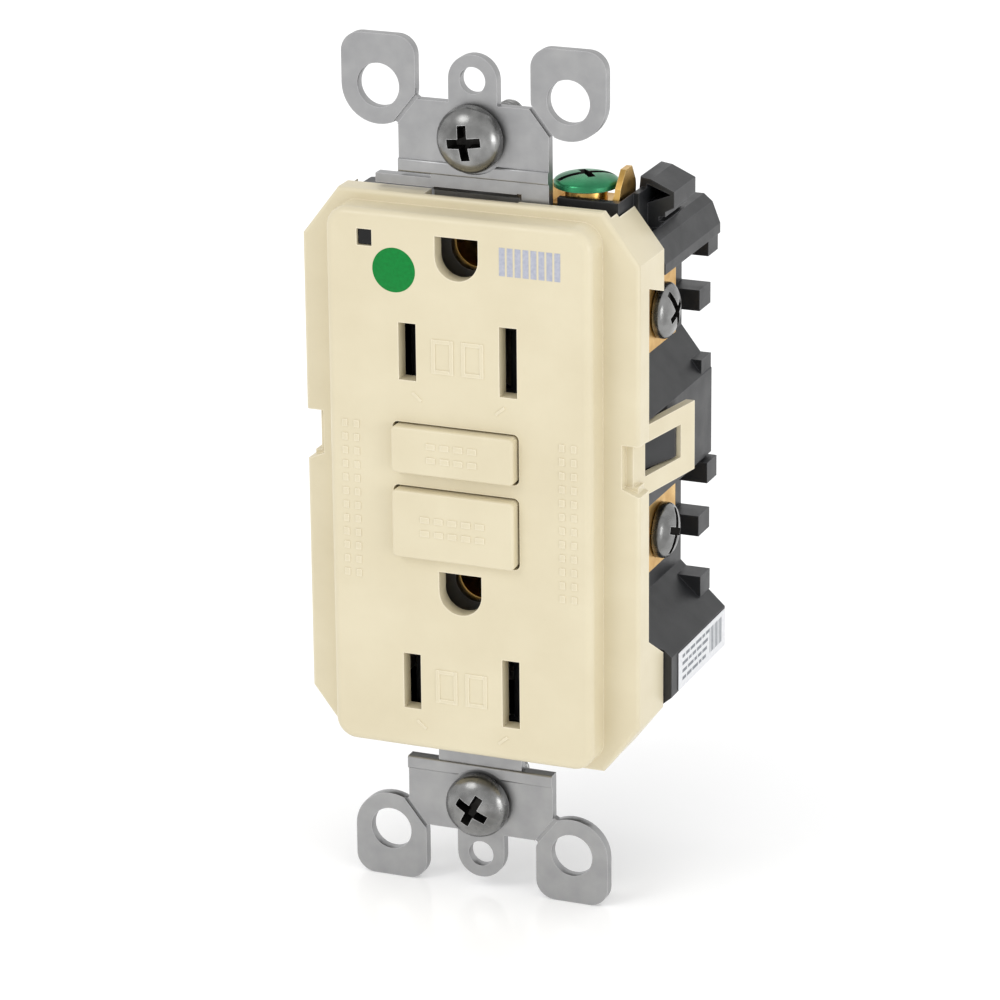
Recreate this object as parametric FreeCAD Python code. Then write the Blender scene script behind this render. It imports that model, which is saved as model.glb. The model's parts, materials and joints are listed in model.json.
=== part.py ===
import FreeCAD, Part
import math
import os

from FreeCAD import Vector

# Ground-fault duplex receptacle on its metal strap, millimetres.
# The origin is midway between the two mounting screws, on the wall side of the strap.
# +Y points into the wall box, -Y into the room, +Z up and +X to the right of someone facing it.

# ---- driving dimensions ----
STRAP_T = 1.3                 # thickness of the mounting strap
FACE_Y = -6.8                 # room side of the face
FLANGE_Y = -3.0               # room side of the flange round the face
RIM_Y = 0.2                   # wall side of the flange's rim
SKIRT_Y = 5.2                 # wall side of the cover's corner skirts
BACK_Y = 24.5                 # wall side of the rear housing
FACE_W, FACE_H = 33.3, 66.7   # rectangle that stands through a wall plate
FLANGE_W, FLANGE_H = 42.4, 69.2
WALL = 1.5                    # moulded wall thickness
SLOT_X = 6.35                 # blade slots are 12.7 mm apart
UPPER_SLOT_Z, LOWER_SLOT_Z = 16.6, -24.7
GROUND_RISE = 11.9            # ground hole above its blade slots
HOT_SLOT_H, NEUTRAL_SLOT_H = 7.0, 8.5
SLOT_W = 2.2
GROUND_HOLE_R = 2.7
SCREW_Z = 41.65               # mounting screws, 83.3 mm apart
PLATE_HOLE_Z = 48.4           # wall-plate holes, 96.8 mm apart
TERMINAL_Y = 10.4             # terminal screws' axes
UPPER_TERMINAL_Z, LOWER_TERMINAL_Z = 19.5, -8.0
TERMINAL_FLOOR_X = 16.4       # side wall behind a terminal
TEST_Z, TEST_H = 4.8, 5.75
RESET_Z, RESET_H = -4.4, 8.4
BUTTON_W = 15.5
BUTTON_GAP = 0.25
BUTTON_Y = -8.1
BOARD_Y, BOARD_T = 20.8, 1.6
PLATE_Y, PLATE_T = 11.6, 1.2  # plate of the separator
TOROID_Z = 16.5
ARM_PIVOT_Y, ARM_PIVOT_Z = 16.25, 7.3
SOLENOID_Y = 17.45
COIL_Z0, COIL_Z1 = -25.6, -16.0  # ends of the solenoid's bobbin
GROUND_SCREW_X, GROUND_SCREW_Y = 11.9, 4.3
GROUND_HEAD_Z = 35.6          # underside of the ground screw's head
TAB_Z = 30.9                  # underside of the strap's ground tab
CLAMP_Z = 33.0                # underside of the ground clamp
DEVICE_SCREW_R = 1.75         # 6-32 thread
DEVICE_NECK_R = 1.4           # narrow neck that the retaining washer sits on
WASHER_R, WASHER_T = 2.2, 0.6
FLANGE_CORNER_X, FLANGE_CORNER_Z = 16.6, 28.6
LIGHT_X, LIGHT_Z, LAMP_Z = -11.6, 30.0, 25.8
LOOP_Z0, LOOP_Z1 = -0.6, 8.0
LOOP_SLOT_Z0, LOOP_SLOT_Z1 = 1.8, 5.9
NOTCH_Z0, NOTCH_Z1, NOTCH_X = 1.4, 6.8, 19.0
SCREW_POST_X, SCREW_POST_Z = 16.9, 27.0
ASSEMBLY_R, ASSEMBLY_HEAD_R = 1.3, 2.0
SHUTTER_TRAVEL = 2.5
LATCH_TRAVEL = 1.3
EAR_X, EAR_Z, EAR_R, EAR_TOP = 11.85, 46.85, 4.65, 6.15
PLATE_HOLE_R = 1.6
GROUND_THREAD_R = 2.1
SCREW_R = 2.05                # 8-32 thread
HEAD_X = 18.9                 # underside of a terminal screw's head
HEAD_R, HEAD_T = 3.4, 2.1
PLUNGER_R = 1.3
BUTTON_X = -0.4               # buttons stand slightly towards the hot side
# outlines of the rear housing's side blocks, as (x, z)
UPPER_BLOCK = [(14, 30.1), (19.2, 30.1), (20.3, 29.2), (21.3, 26.6), (21.3, 25.4), (16.4, 24.8), (14, 24.8)]
MIDDLE_BLOCK = [(14, 13.4), (16.4, 13.4), (20.3, 8.3), (20.3, -2.4), (16.4, -3.2), (14, -3.2)]
LOWER_BLOCK = [(14, -16.9), (16.4, -16.9), (22.2, -22.3), (22.2, -27.4), (18.0, -31.0), (14, -31.0)]
BLOCKS = (UPPER_BLOCK, MIDDLE_BLOCK, LOWER_BLOCK)
SLOT_CENTRES = (UPPER_SLOT_Z, LOWER_SLOT_Z)
GROUND_CENTRES = (UPPER_SLOT_Z + GROUND_RISE, LOWER_SLOT_Z + GROUND_RISE)
TERMINAL_CENTRES = (UPPER_TERMINAL_Z, LOWER_TERMINAL_Z)

AXES = {"x": Vector(1, 0, 0), "y": Vector(0, 1, 0), "z": Vector(0, 0, 1)}


# ---- helpers ----
def box(x0, x1, y0, y1, z0, z1):
    return Part.makeBox(x1 - x0, y1 - y0, z1 - z0, Vector(x0, y0, z0))


def rod(axis, radius, start, length, centre):
    """A cylinder along axis from start; centre holds the other two coordinates."""
    places = {"x": (start, *centre), "y": (centre[0], start, centre[1]), "z": (*centre, start)}
    return Part.makeCylinder(radius, length, Vector(*places[axis]), AXES[axis])


def prism(points, y0, y1):
    """A polygon of (x, z) points carried from y0 to y1."""
    ring = [Vector(x, y0, z) for x, z in points]
    face = Part.Face(Part.makePolygon(ring + ring[:1]))
    return face.extrude(Vector(0, y1 - y0, 0))


def slab(points, axis, low, high):
    """A polygon of (y, z) points along x, or of (x, y) points along z."""
    if axis == "x":
        ring = [Vector(low, y, z) for y, z in points]
    else:
        ring = [Vector(x, y, low) for x, y in points]
    face = Part.Face(Part.makePolygon(ring + ring[:1]))
    return face.extrude(AXES[axis] * (high - low))


def rounded_plate(x0, x1, y0, y1, z0, z1, radius):
    """A box whose four edges along y are rounded."""
    body = box(x0, x1, y0, y1, z0, z1)
    edges = [e for e in body.Edges if abs(e.tangentAt(e.FirstParameter).y) > 0.99]
    return body.makeFillet(radius, edges)


def front_edges(body, y):
    return [e for e in body.Edges if all(abs(v.Y - y) < 1e-6 for v in e.Vertexes)]


def fuse(shapes):
    joined = shapes[0].fuse(shapes[1:]) if len(shapes) > 1 else shapes[0]
    return joined.removeSplitter()


def mirror_x(shape):
    return shape.mirror(Vector(0, 0, 0), AXES["x"])


def mirror_z(shape):
    return shape.mirror(Vector(0, 0, 0), AXES["z"])


def coil_spring(axis, centre, low, high, radius, wire, turns):
    """A helical spring between low and high along axis."""
    pitch = (high - low - 2 * wire) / turns
    helix = Part.makeLongHelix(pitch, pitch * turns, radius)
    along = Vector(0, 1, pitch / (2 * math.pi * radius))
    section = Part.Wire(Part.makeCircle(wire, Vector(radius, 0, 0), along))
    spring = Part.Wire(helix.Edges).makePipeShell([section], True, True)
    spring.translate(Vector(0, 0, low + wire))
    if axis == "y":
        spring.rotate(Vector(0, 0, 0), AXES["x"], -90)
        spring.translate(Vector(centre[0], 0, centre[1]))
    elif axis == "x":
        spring.rotate(Vector(0, 0, 0), AXES["y"], 90)
        spring.translate(Vector(0, *centre))
    else:
        spring.translate(Vector(*centre, 0))
    return spring


def save(name, shape):
    shape.exportStep(os.path.join("parts", name + ".step"))


# ---- cover ----
def flange_outline(inset):
    half_w, half_h = FLANGE_W / 2 - inset, FLANGE_H / 2 - inset
    cx, cz = FLANGE_CORNER_X - inset * 0.55, FLANGE_CORNER_Z - inset * 0.45
    return [(half_w, -cz), (half_w, cz), (cx, half_h), (-cx, half_h),
            (-half_w, cz), (-half_w, -cz), (-cx, -half_h), (cx, -half_h)]


def ground_hole(z, y0, y1, radius):
    """A round hole with its top cut flat, as a ground pin's hole has."""
    hole = rod("y", radius, y0, y1 - y0, (0, z))
    square = box(-radius, radius, y0, y1, z, z + 0.92 * radius)
    below = box(-radius, radius, y0, y1, z - radius, z + 0.92 * radius)
    return fuse([hole.common(below), square])


def face_holes():
    holes = []
    for z in SLOT_CENTRES:
        for x, height in ((-SLOT_X, HOT_SLOT_H), (SLOT_X, NEUTRAL_SLOT_H)):
            holes.append(box(x - SLOT_W / 2, x + SLOT_W / 2, FACE_Y - 1, 0, z - height / 2, z + height / 2))
    for z in GROUND_CENTRES:
        holes.append(ground_hole(z, FACE_Y - 1, 0, GROUND_HOLE_R))
    half = BUTTON_W / 2 + BUTTON_GAP
    for z, height in ((TEST_Z, TEST_H), (RESET_Z, RESET_H)):
        reach = height / 2 + BUTTON_GAP
        low, high = BUTTON_X - half, BUTTON_X + half
        holes.append(rounded_plate(low, high, FACE_Y - 1, 0, z - reach, z + reach, 0.7))
    holes.append(box(LIGHT_X - 0.95, LIGHT_X + 0.95, FACE_Y - 1, 0, LIGHT_Z - 1.0, LIGHT_Z + 1.0))
    return holes


def latch_loop():
    """A springy loop at the cover's edge that snaps over the rear housing's catch."""
    outline = [(18.9, -1.6), (19.9, -1.6), (20.3, 1.0), (22.4, 12.6), (21.3, 12.6), (19.2, 1.0)]
    root = box(18.2, 20.6, FLANGE_Y + 1.2, RIM_Y, LOOP_Z0, NOTCH_Z0)
    top = box(18.2, 20.6, FLANGE_Y + 1.2, RIM_Y, NOTCH_Z1, LOOP_Z1)
    wall = box(17.8, NOTCH_X, FLANGE_Y + 0.4, RIM_Y, LOOP_Z0, LOOP_Z1)
    slot = box(18, 24, 1.2, 9.4, LOOP_SLOT_Z0, LOOP_SLOT_Z1)
    return fuse([slab(outline, "z", LOOP_Z0, LOOP_Z1).cut(slot), root, top, wall])


def skirt_zone(grow):
    """The space of the four corner skirts, made larger all round by grow."""
    near, far = RIM_Y - 0.2, SKIRT_Y + grow
    upper = [(near, 25.2 - grow), (far, 23.5 - grow), (far, 50), (near, 50)]
    lower = [(near, -18.4 + grow), (far, -21.6 + grow), (far, -50), (near, -50)]
    return fuse([slab(upper, "x", -30, 30), slab(lower, "x", -30, 30)])


def corner_skirts():
    """Walls that carry the cover back over the rear housing's four corners."""
    ring = prism(flange_outline(0), FLANGE_Y + WALL, SKIRT_Y).cut(prism(flange_outline(WALL), -9, 9))
    return ring.common(skirt_zone(0)).cut(box(-17.5, 17.5, RIM_Y, 9, -50, 50))


def face_cover():
    pad = rounded_plate(-FACE_W / 2, FACE_W / 2, FACE_Y, FLANGE_Y + 0.5, -FACE_H / 2, FACE_H / 2, 2.6)
    pad = pad.makeFillet(0.95, front_edges(pad, FACE_Y))
    flange = prism(flange_outline(0), FLANGE_Y, RIM_Y)
    flange = flange.makeFillet(0.5, front_edges(flange, FLANGE_Y))
    body = fuse([pad, flange, corner_skirts()])
    inner_w, inner_h = FACE_W / 2 - WALL, FACE_H / 2 - WALL
    cuts = [box(-inner_w, inner_w, FACE_Y + 2.0, 9, -inner_h, inner_h),
            prism(flange_outline(WALL), FLANGE_Y + WALL, 9)]
    for side in (-1, 1):
        notch = [(NOTCH_X, NOTCH_Z1), (30, NOTCH_Z1), (30, NOTCH_Z0 - 0.9), (FLANGE_W / 2, NOTCH_Z0 - 0.9),
                 (NOTCH_X, NOTCH_Z0)]
        cuts.append(prism([(side * x, z) for x, z in notch], FLANGE_Y - 1, RIM_Y + 1))
    cuts.append(box(-5.9, 5.9, -2.2, 9, 33.0, 40))
    cuts.append(box(-5.9, 5.9, -2.2, 9, -40, -33.0))
    cuts.append(box(5.9, 17.2, FLANGE_Y + 1.3, 9, 33.0, 40))
    body = body.cut(fuse(cuts)).cut(fuse(face_holes()))
    loop = latch_loop()
    extras = [loop, mirror_x(loop)]
    for z in SLOT_CENTRES:
        for dz in (-5.9, 5.1):
            extras.append(box(-13.4, 13.4, FACE_Y + 1.5, -2.2, z + dz, z + dz + 0.8))
        extras.append(box(14.1, 15.6, FACE_Y + 1.5, -2.2, z - 2, z + 2))
    for place in screw_posts():
        post = rod("y", 2.3, FLANGE_Y + 1, 8.0, place).cut(rod("y", ASSEMBLY_R + 0.05, -0.4, 9, place))
        extras.append(post)
    return fuse([body, *extras])


def button(z, height, stem_radius, stem_end):
    half_w, half_h = BUTTON_W / 2, height / 2
    left, right = BUTTON_X - half_w, BUTTON_X + half_w
    cap = rounded_plate(left, right, BUTTON_Y, FACE_Y + 2.6, z - half_h, z + half_h, 0.6)
    cap = cap.makeFillet(0.35, front_edges(cap, BUTTON_Y))
    lip = box(left - 0.9, right + 0.9, FACE_Y + 3.1, FACE_Y + 4.4, z - half_h, z + half_h)
    step = (left + 0.4, right - 0.4, FACE_Y + 2.4, FACE_Y + 3.2, z - half_h + 0.4, z + half_h - 0.4)
    cap = cap.fuse(box(*step))
    core = rod("y", 1.55, FACE_Y + 4.0, 1.5, (0, z))
    stem = rod("y", stem_radius, FACE_Y + 4.0, stem_end - FACE_Y - 4.0, (0, z))
    return fuse([cap, lip, core, stem])


def light_pipe():
    """Carries the lamp's light up to its window, with a step sideways behind the face."""
    front = FACE_Y + 0.35
    lens = box(LIGHT_X - 0.85, LIGHT_X + 0.85, front, FACE_Y + 2.6, LIGHT_Z - 0.9, LIGHT_Z + 0.9)
    step = box(LIGHT_X - 0.8, LIGHT_X + 0.8, FACE_Y + 2.5, FACE_Y + 3.9, LAMP_Z - 0.8, LIGHT_Z + 0.9)
    return fuse([lens, step, rod("y", 0.8, FACE_Y + 2.6, 19.2 - FACE_Y - 2.6, (LIGHT_X, LAMP_Z))])


def shutter(z):
    """A sliding plate whose windows stand beside the blade slots until it is pushed across."""
    plate = box(-11.2, 8.4, FACE_Y + 2.2, FACE_Y + 4.3, z - 4.8, z + 4.8)
    windows = []
    for x in (-SLOT_X - SHUTTER_TRAVEL, SLOT_X - SHUTTER_TRAVEL):
        windows.append(box(x - 1.4, x + 1.4, -6, 0, z - 4.4, z + 4.4))
        low, high = FACE_Y + 2.2, FACE_Y + 3.7
        ramp = [(x + 1.3, low - 0.1), (x + 3.4, low - 0.1), (x + 1.3, high)]
        windows.append(slab(ramp, "z", z - 4.4, z + 4.4))
    return plate.cut(fuse(windows))


# ---- strap and its fasteners ----
def plaster_ear():
    round_end = rod("y", EAR_R, -STRAP_T, STRAP_T, (EAR_X, EAR_Z))
    low, high = EAR_X - EAR_R, EAR_X + EAR_R
    square = rounded_plate(low, high, -STRAP_T, 0, EAR_Z - 3, EAR_Z + EAR_TOP, 2.4)
    upper = box(low, high, -STRAP_T, 0, EAR_Z, EAR_Z + EAR_TOP)
    ear = fuse([round_end, square.common(upper)])
    root = prism([(6.95, 45.6), (9.4, 42.4), (12.0, 44.0), (9.0, 47.2)], -STRAP_T, 0)
    return fuse([ear, root]).cut(rod("y", 2.65, -3, 4, (EAR_X, EAR_Z)))


def score_line():
    """The groove that lets an ear snap off."""
    dx, dz = 9.4 - 6.95, 42.4 - 45.5
    length = math.hypot(dx, dz)
    groove = Part.makeBox(0.5, 0.35, length + 1, Vector(-0.25, -STRAP_T - 0.01, -0.5))
    groove.rotate(Vector(0, 0, 0), AXES["y"], math.degrees(math.atan2(dx, dz)))
    groove.translate(Vector(7.25, 0, 45.75))
    return groove


def strap_end():
    """Everything of the strap above the cover; the lower end is its mirror image."""
    outline = [(-9.4, 36.8), (9.4, 36.8), (9.4, 42.4), (6.95, 45.6), (-6.95, 45.6), (-9.4, 42.4)]
    plate = prism(outline, -STRAP_T, 0)
    bead = box(-9.4, 9.4, -STRAP_T - 0.3, -STRAP_T + 0.2, 36.8, 38.4)
    bead = bead.makeFillet(0.25, [e for e in front_edges(bead, -STRAP_T - 0.3) if e.Length > 10])
    bead = bead.cut(rod("y", 4.4, -3, 6, (0, SCREW_Z)))
    tip = rod("y", 3.05, -STRAP_T, STRAP_T, (0, PLATE_HOLE_Z))
    tongue = fuse([box(-3.05, 3.05, -STRAP_T, 0, 44, PLATE_HOLE_Z), tip])
    jog = [(-1.3, 37.0), (-1.3, 35.3), (-0.2, 34.6), (-0.2, 33.0), (-1.3, 31.8), (-1.3, 30.0),
           (0.0, 30.0), (0.0, 31.6), (1.1, 32.8), (1.1, 34.8), (0.0, 35.5), (0.0, 37.0)]
    neck = slab(jog, "x", -5.4, 5.4)
    ear = plaster_ear()
    body = fuse([plate, bead, tongue, neck, ear, mirror_x(ear)])
    slot = fuse([box(-1.2, 1.2, -3, 3, SCREW_Z - 1.95, SCREW_Z + 1.95),
                 rod("y", 1.95, -3, 6, (-1.2, SCREW_Z)), rod("y", 1.95, -3, 6, (1.2, SCREW_Z)),
                 rod("y", WASHER_R + 0.2, -WASHER_T - 0.1, 2, (0, SCREW_Z))])
    holes = [slot, rod("y", PLATE_HOLE_R, -3, 6, (0, PLATE_HOLE_Z)), score_line(), mirror_x(score_line())]
    return body.cut(fuse(holes))


def mounting_strap():
    parts = [strap_end(), mirror_z(strap_end())]
    parts.append(box(-12.4, -5.0, -STRAP_T, 0.1, 35.2, 36.3))
    parts.append(box(-3.4, 3.4, -STRAP_T, 0, -31, 31))
    for z in GROUND_CENTRES:
        parts.append(rod("y", 4.9, -STRAP_T, STRAP_T, (0, z)))
    parts.append(box(-7.6, 7.6, -STRAP_T, 0, -10.3, 9.8))
    parts.append(box(6.0, 9.4, -STRAP_T, 0, TAB_Z, 37.0))
    parts.append(box(6.0, 16.2, -STRAP_T, 8.6, TAB_Z, TAB_Z + STRAP_T))
    parts.append(box(5.0, 6.5, -STRAP_T, 0, 35.4, 37.0))
    body = fuse(parts)
    holes = [ground_hole(z, -3, 3, GROUND_HOLE_R + 0.2) for z in GROUND_CENTRES]
    holes.append(rod("y", 3.0, -3, 6, (0, TEST_Z)))
    holes.append(rod("y", 3.0, -3, 6, (0, RESET_Z)))
    holes.append(rod("z", GROUND_THREAD_R, 28, 8, (GROUND_SCREW_X, GROUND_SCREW_Y)))
    return body.cut(fuse(holes))


def phillips_recess(axis, top, centre, span, depth, into):
    """A cross-shaped driver recess sunk from top, in the direction into (+1 or -1)."""
    low, high = sorted((top - into * 0.1, top + into * depth))
    wings = []
    for a, b in ((span, 0.55), (0.55, span)):
        wings.append((-a, a, -b, b))
    shapes = []
    for a0, a1, b0, b1 in wings:
        if axis == "y":
            shapes.append(box(centre[0] + a0, centre[0] + a1, low, high, centre[1] + b0, centre[1] + b1))
        elif axis == "x":
            shapes.append(box(low, high, centre[0] + a0, centre[0] + a1, centre[1] + b0, centre[1] + b1))
        else:
            shapes.append(box(centre[0] + a0, centre[0] + a1, centre[1] + b0, centre[1] + b1, low, high))
    return fuse(shapes)


def device_screw(z):
    """A 6-32 screw with an oval Phillips head and a narrow neck where it passes the strap."""
    top, under, thread, end = -4.6, -1.75, 0.1, 11.4
    head = rod("y", 4.0, top, under - top, (0, z))
    head = head.makeFillet(1.2, front_edges(head, top))
    shank = rod("y", DEVICE_SCREW_R, thread, end - thread, (0, z))
    shank = shank.makeChamfer(0.5, front_edges(shank, end))
    neck = rod("y", DEVICE_NECK_R, under - 0.1, thread - under + 0.2, (0, z))
    recess = phillips_recess("y", top, (0, z), 2.3, 1.7, 1)
    slot = box(-4.2, 4.2, top - 0.3, top + 0.6, z - 0.5, z + 0.5)
    return fuse([head, neck, shank]).cut(fuse([recess, slot]))


def retaining_washer(z):
    """A fibre washer, sunk in the strap, that keeps a mounting screw from falling out."""
    ring = rod("y", WASHER_R, -WASHER_T - 0.05, WASHER_T, (0, z))
    return ring.cut(rod("y", DEVICE_NECK_R + 0.05, -1, 3, (0, z)))


def ground_screw():
    centre = (GROUND_SCREW_X, GROUND_SCREW_Y)
    top = GROUND_HEAD_Z + 1.6
    head = rod("z", 3.85, GROUND_HEAD_Z, 1.6, centre)
    head = head.makeFillet(0.5, [e for e in head.Edges if all(abs(v.Z - top) < 1e-6 for v in e.Vertexes)])
    shank = rod("z", SCREW_R, 29.0, GROUND_HEAD_Z - 28.9, centre)
    slot = box(centre[0] - 4.5, centre[0] + 4.5, centre[1] - 0.5, centre[1] + 0.5, top - 0.7, top + 1)
    recess = phillips_recess("z", top, centre, 1.9, 1.1, -1)
    return fuse([head, shank]).cut(fuse([slot, recess]))


def ground_clamp():
    """A saddle with a raised hub and upturned wings that traps the ground wire."""
    x, y, z = GROUND_SCREW_X, GROUND_SCREW_Y, CLAMP_Z
    plate = box(x - 4.4, x + 4.4, y - 2.5, y + 3.9, z, z + 0.85)
    hub = rod("z", 2.5, z + 0.5, GROUND_HEAD_Z - z - 0.6, (x, y))
    lift = [(3.7, z), (4.6, z), (4.9, z + 2.2), (5.0, z + 5.0), (4.3, z + 5.0), (4.2, z + 2.4)]
    lift.append((3.7, z + 0.85))
    taper = slab([(y - 2.5, z), (y + 3.9, z), (y + 3.2, z + 3.0), (y + 1.8, z + 5.0), (y - 0.2, z + 5.0),
                  (y - 1.8, z + 3.0)], "x", x - 9, x + 9)
    right = prism([(x + a, b) for a, b in lift], y - 2.5, y + 3.9).common(taper)
    left = prism([(x - a, b) for a, b in lift], y - 2.5, y + 3.9).common(taper)
    left = left.common(box(-5, 20, -5, 20, z, z + 2.4))
    hole = rod("z", SCREW_R + 0.1, 20, 30, (x, y))
    return fuse([plate, hub, right, left]).cut(hole)


# ---- side terminals ----
def terminal_screw(z):
    head = rod("x", HEAD_R, HEAD_X, HEAD_T, (TERMINAL_Y, z))
    rim = [e for e in head.Edges if all(abs(v.X - HEAD_X - HEAD_T) < 1e-6 for v in e.Vertexes)]
    head = head.makeFillet(0.7, rim)
    shank = rod("x", SCREW_R, 14.6, HEAD_X - 14.5, (TERMINAL_Y, z))
    top = HEAD_X + HEAD_T
    slot = box(top - 0.8, top + 1, TERMINAL_Y - 4.5, TERMINAL_Y + 4.5, z - 0.5, z + 0.5)
    recess = phillips_recess("x", top, (TERMINAL_Y, z), 1.9, 1.3, -1)
    return fuse([head, shank]).cut(fuse([slot, recess]))


def wire_clamp(z):
    """The pressure plate under a terminal screw's head, with its ends turned in."""
    plate = box(18.1, 18.85, TERMINAL_Y - 4.4, TERMINAL_Y + 5.4, z - 4.3, z + 4.3)
    corner = box(18.1, 18.85, TERMINAL_Y + 2.6, TERMINAL_Y + 5.4, z + 4.2, z + 5.0)
    lip = box(17.55, 18.85, TERMINAL_Y - 4.4, TERMINAL_Y - 3.6, z - 4.3, z + 4.3)
    hole = rod("x", SCREW_R + 0.35, 10, 12, (TERMINAL_Y, z))
    return fuse([plate, corner, lip]).cut(hole)


def terminal_plate(z):
    """The threaded plate behind a clamp, with a leg that reaches the circuit board."""
    x = TERMINAL_FLOOR_X
    plate = box(x, x + 0.8, TERMINAL_Y - 3.3, 15.2, z - 4.2, z + 3.9)
    tail = box(10.6, x + 0.8, 13.2, 14.4, z - 4.2, z - 1.2)
    leg = box(10.6, 11.6, 13.2, BOARD_Y - 0.05, z - 4.2, z - 1.2)
    hole = rod("x", SCREW_R + 0.05, 12, 8, (TERMINAL_Y, z))
    return fuse([plate, tail, leg]).cut(hole)


# ---- rear housing ----
def block_hollow(points):
    """The space inside a side block, one wall thickness in from its outline."""
    xs = [x for x, _ in points]
    top, bottom = max(z for _, z in points), min(z for _, z in points)
    reach = min(max(xs) - WALL, 17.6)
    inner = box(13, reach, 0, BACK_Y - WALL, bottom + WALL + 1.2, top - WALL - 1.2)
    shrunk = prism([(x - WALL if x > 15 else x, z) for x, z in points], 0, BACK_Y - WALL)
    return inner.common(shrunk)


def wire_guides(low_z, middle_z, high_z):
    """Ribs at the back of a terminal bay that part its two push-in wires."""
    inner = TERMINAL_FLOOR_X - 0.4
    y0 = BACK_Y - 3.9
    middle = box(inner, 20.1, y0, BACK_Y, middle_z - 1.3, middle_z + 1.3)
    upper = box(inner, 21.0, y0 + 0.5, BACK_Y, high_z, high_z + 2.6)
    lower = box(inner, 20.2, y0 + 0.5, BACK_Y, low_z - 2.6, low_z)
    return [middle, upper, lower]


def ground_guide():
    """A roofed rib beside the ground screw that leads its wire back, and a guard wall before the screw."""
    outline = [(16.2, 28.0), (17.0, 36.1), (18.4, 35.9), (21.3, 34.6), (21.3, 32.7), (20.2, 32.1), (20.2, 31.0),
               (19.2, 30.0), (19.2, 28.0)]
    pocket = prism([(17.9, 35.3), (17.9, 33.0), (20.9, 34.2)], 8.0, 14.0)
    groove = box(19.4, 23, 8, 18, 31.0, 31.5)
    roof = prism(outline, 8.3, 15.6).cut(fuse([pocket, groove]))
    front = box(9.7, 18.0, 0.5, 1.5, TAB_Z + STRAP_T + 0.25, 34.9)
    guard = fuse([front, box(17.2, 18.0, 0.5, 9.0, 28, 34.9)])
    return [roof, guard]


def core_profile(inset):
    """Side view of the middle of the rear housing, whose top and bottom slope in towards the back."""
    front, slope_y, back = 33.4 - inset, 6.5, 29.0 - inset
    end = BACK_Y if inset == 0 else BACK_Y - WALL
    top = [(0.6 if inset == 0 else 0.0, front), (slope_y, front), (end, back + (BACK_Y - end) * 0.24)]
    return top + [(y, -z) for y, z in reversed(top)]


def screw_posts():
    return [(x, z) for x in (-SCREW_POST_X, SCREW_POST_X) for z in (-SCREW_POST_Z, SCREW_POST_Z)]


def housing_cuts():
    """Room for the cover's skirts and posts, the screws, the terminals' legs and the strap."""
    ring = prism(flange_outline(-5), -1, SKIRT_Y + 1).cut(prism(flange_outline(WALL + 0.15), -2, 9))
    cuts = [ring.common(skirt_zone(0.2)).cut(box(-17.3, 17.3, -2, 10, -50, 50))]
    for place in screw_posts():
        cuts.append(rod("y", 2.45, -1, 7.3, place))
        cuts.append(rod("y", ASSEMBLY_R + 0.15, 0, 30, place))
        cuts.append(rod("y", ASSEMBLY_HEAD_R + 0.15, BACK_Y - 1.6, 3, place))
    for z in TERMINAL_CENTRES:
        for side in (-1, 1):
            low, high = sorted((side * 14.0, side * (TERMINAL_FLOOR_X + 0.4)))
            cuts.append(rod("x", 2.5, low, high - low, (TERMINAL_Y, z)))
            cuts.append(box(low, high, 13.0, 14.6, z - 4.4, z - 1.0))
    cuts.append(box(5.7, 17.15, 1.5, 8.6, TAB_Z - 0.25, 40))
    cuts.append(box(5.7, 17.15, -1, 1.6, TAB_Z - 0.25, TAB_Z + STRAP_T + 0.25))
    cuts.append(box(5.7, 9.7, -1, 1.6, TAB_Z - 0.25, 40))
    cuts.append(rod("z", SCREW_R + 0.3, 28.6, 4, (GROUND_SCREW_X, GROUND_SCREW_Y)))
    cuts.append(box(-5.7, 5.8, -1, 1.4, 29, 40))
    cuts.append(box(-5.7, 5.7, -1, 1.4, -40, -29))
    return cuts


def loop_recess():
    """The room under a latch loop, which leaves only the catch standing in the loop's slot."""
    outline = [(18.9, -1), (18.9, 1.0), (20.35, 9.0), (24, 9.0), (24, -1)]
    wedge = slab(outline, "z", LOOP_Z0 - 0.3, LOOP_Z1 + 0.3)
    catch = slab([(18.5, 1.6), (19.0, 1.6), (21.4, 8.4), (21.4, 9.0), (18.5, 9.0)], "z",
                 LOOP_SLOT_Z0 + 0.25, LOOP_SLOT_Z1 - 0.25)
    return wedge, catch


def rear_housing():
    solids = [slab(core_profile(0), "x", -TERMINAL_FLOOR_X, TERMINAL_FLOOR_X)]
    hollows = [slab(core_profile(1.3), "x", -15.0, 15.0)]
    right = []
    for points in BLOCKS:
        right.append(prism(points, 0.6, BACK_Y))
    for points in (MIDDLE_BLOCK, LOWER_BLOCK):
        hollow = block_hollow(points)
        hollows += [hollow, mirror_x(hollow)]
    right += wire_guides(10.2, 17.8, 23.3) + wire_guides(-17.6, -10.9, -5.4)
    solids += right + [mirror_x(s) for s in right] + ground_guide()
    outside = fuse(solids)
    columns = [rod("y", 2.7, 6.2, BACK_Y - 6.2, place).common(outside) for place in screw_posts()]
    body = fuse([outside.cut(fuse(hollows)), *columns]).cut(fuse(housing_cuts()))
    wedge, catch = loop_recess()
    body = body.cut(fuse([wedge, mirror_x(wedge)]))
    return fuse([body, catch, mirror_x(catch)])


def side_label():
    """The printed label on the lower block's sloping side."""
    corners = [(22.2, -27.3), (22.35, -27.3), (22.35, -22.5), (22.2, -22.5)]
    return prism(corners, 7.6, BACK_Y - 0.3)


def assembly_screw(x, z):
    head = rod("y", ASSEMBLY_HEAD_R, BACK_Y - 1.5, 1.4, (x, z))
    head = head.cut(phillips_recess("y", BACK_Y - 0.1, (x, z), 1.2, 0.8, -1))
    return fuse([head, rod("y", ASSEMBLY_R, 1.0, BACK_Y - 2.4, (x, z))])


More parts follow.
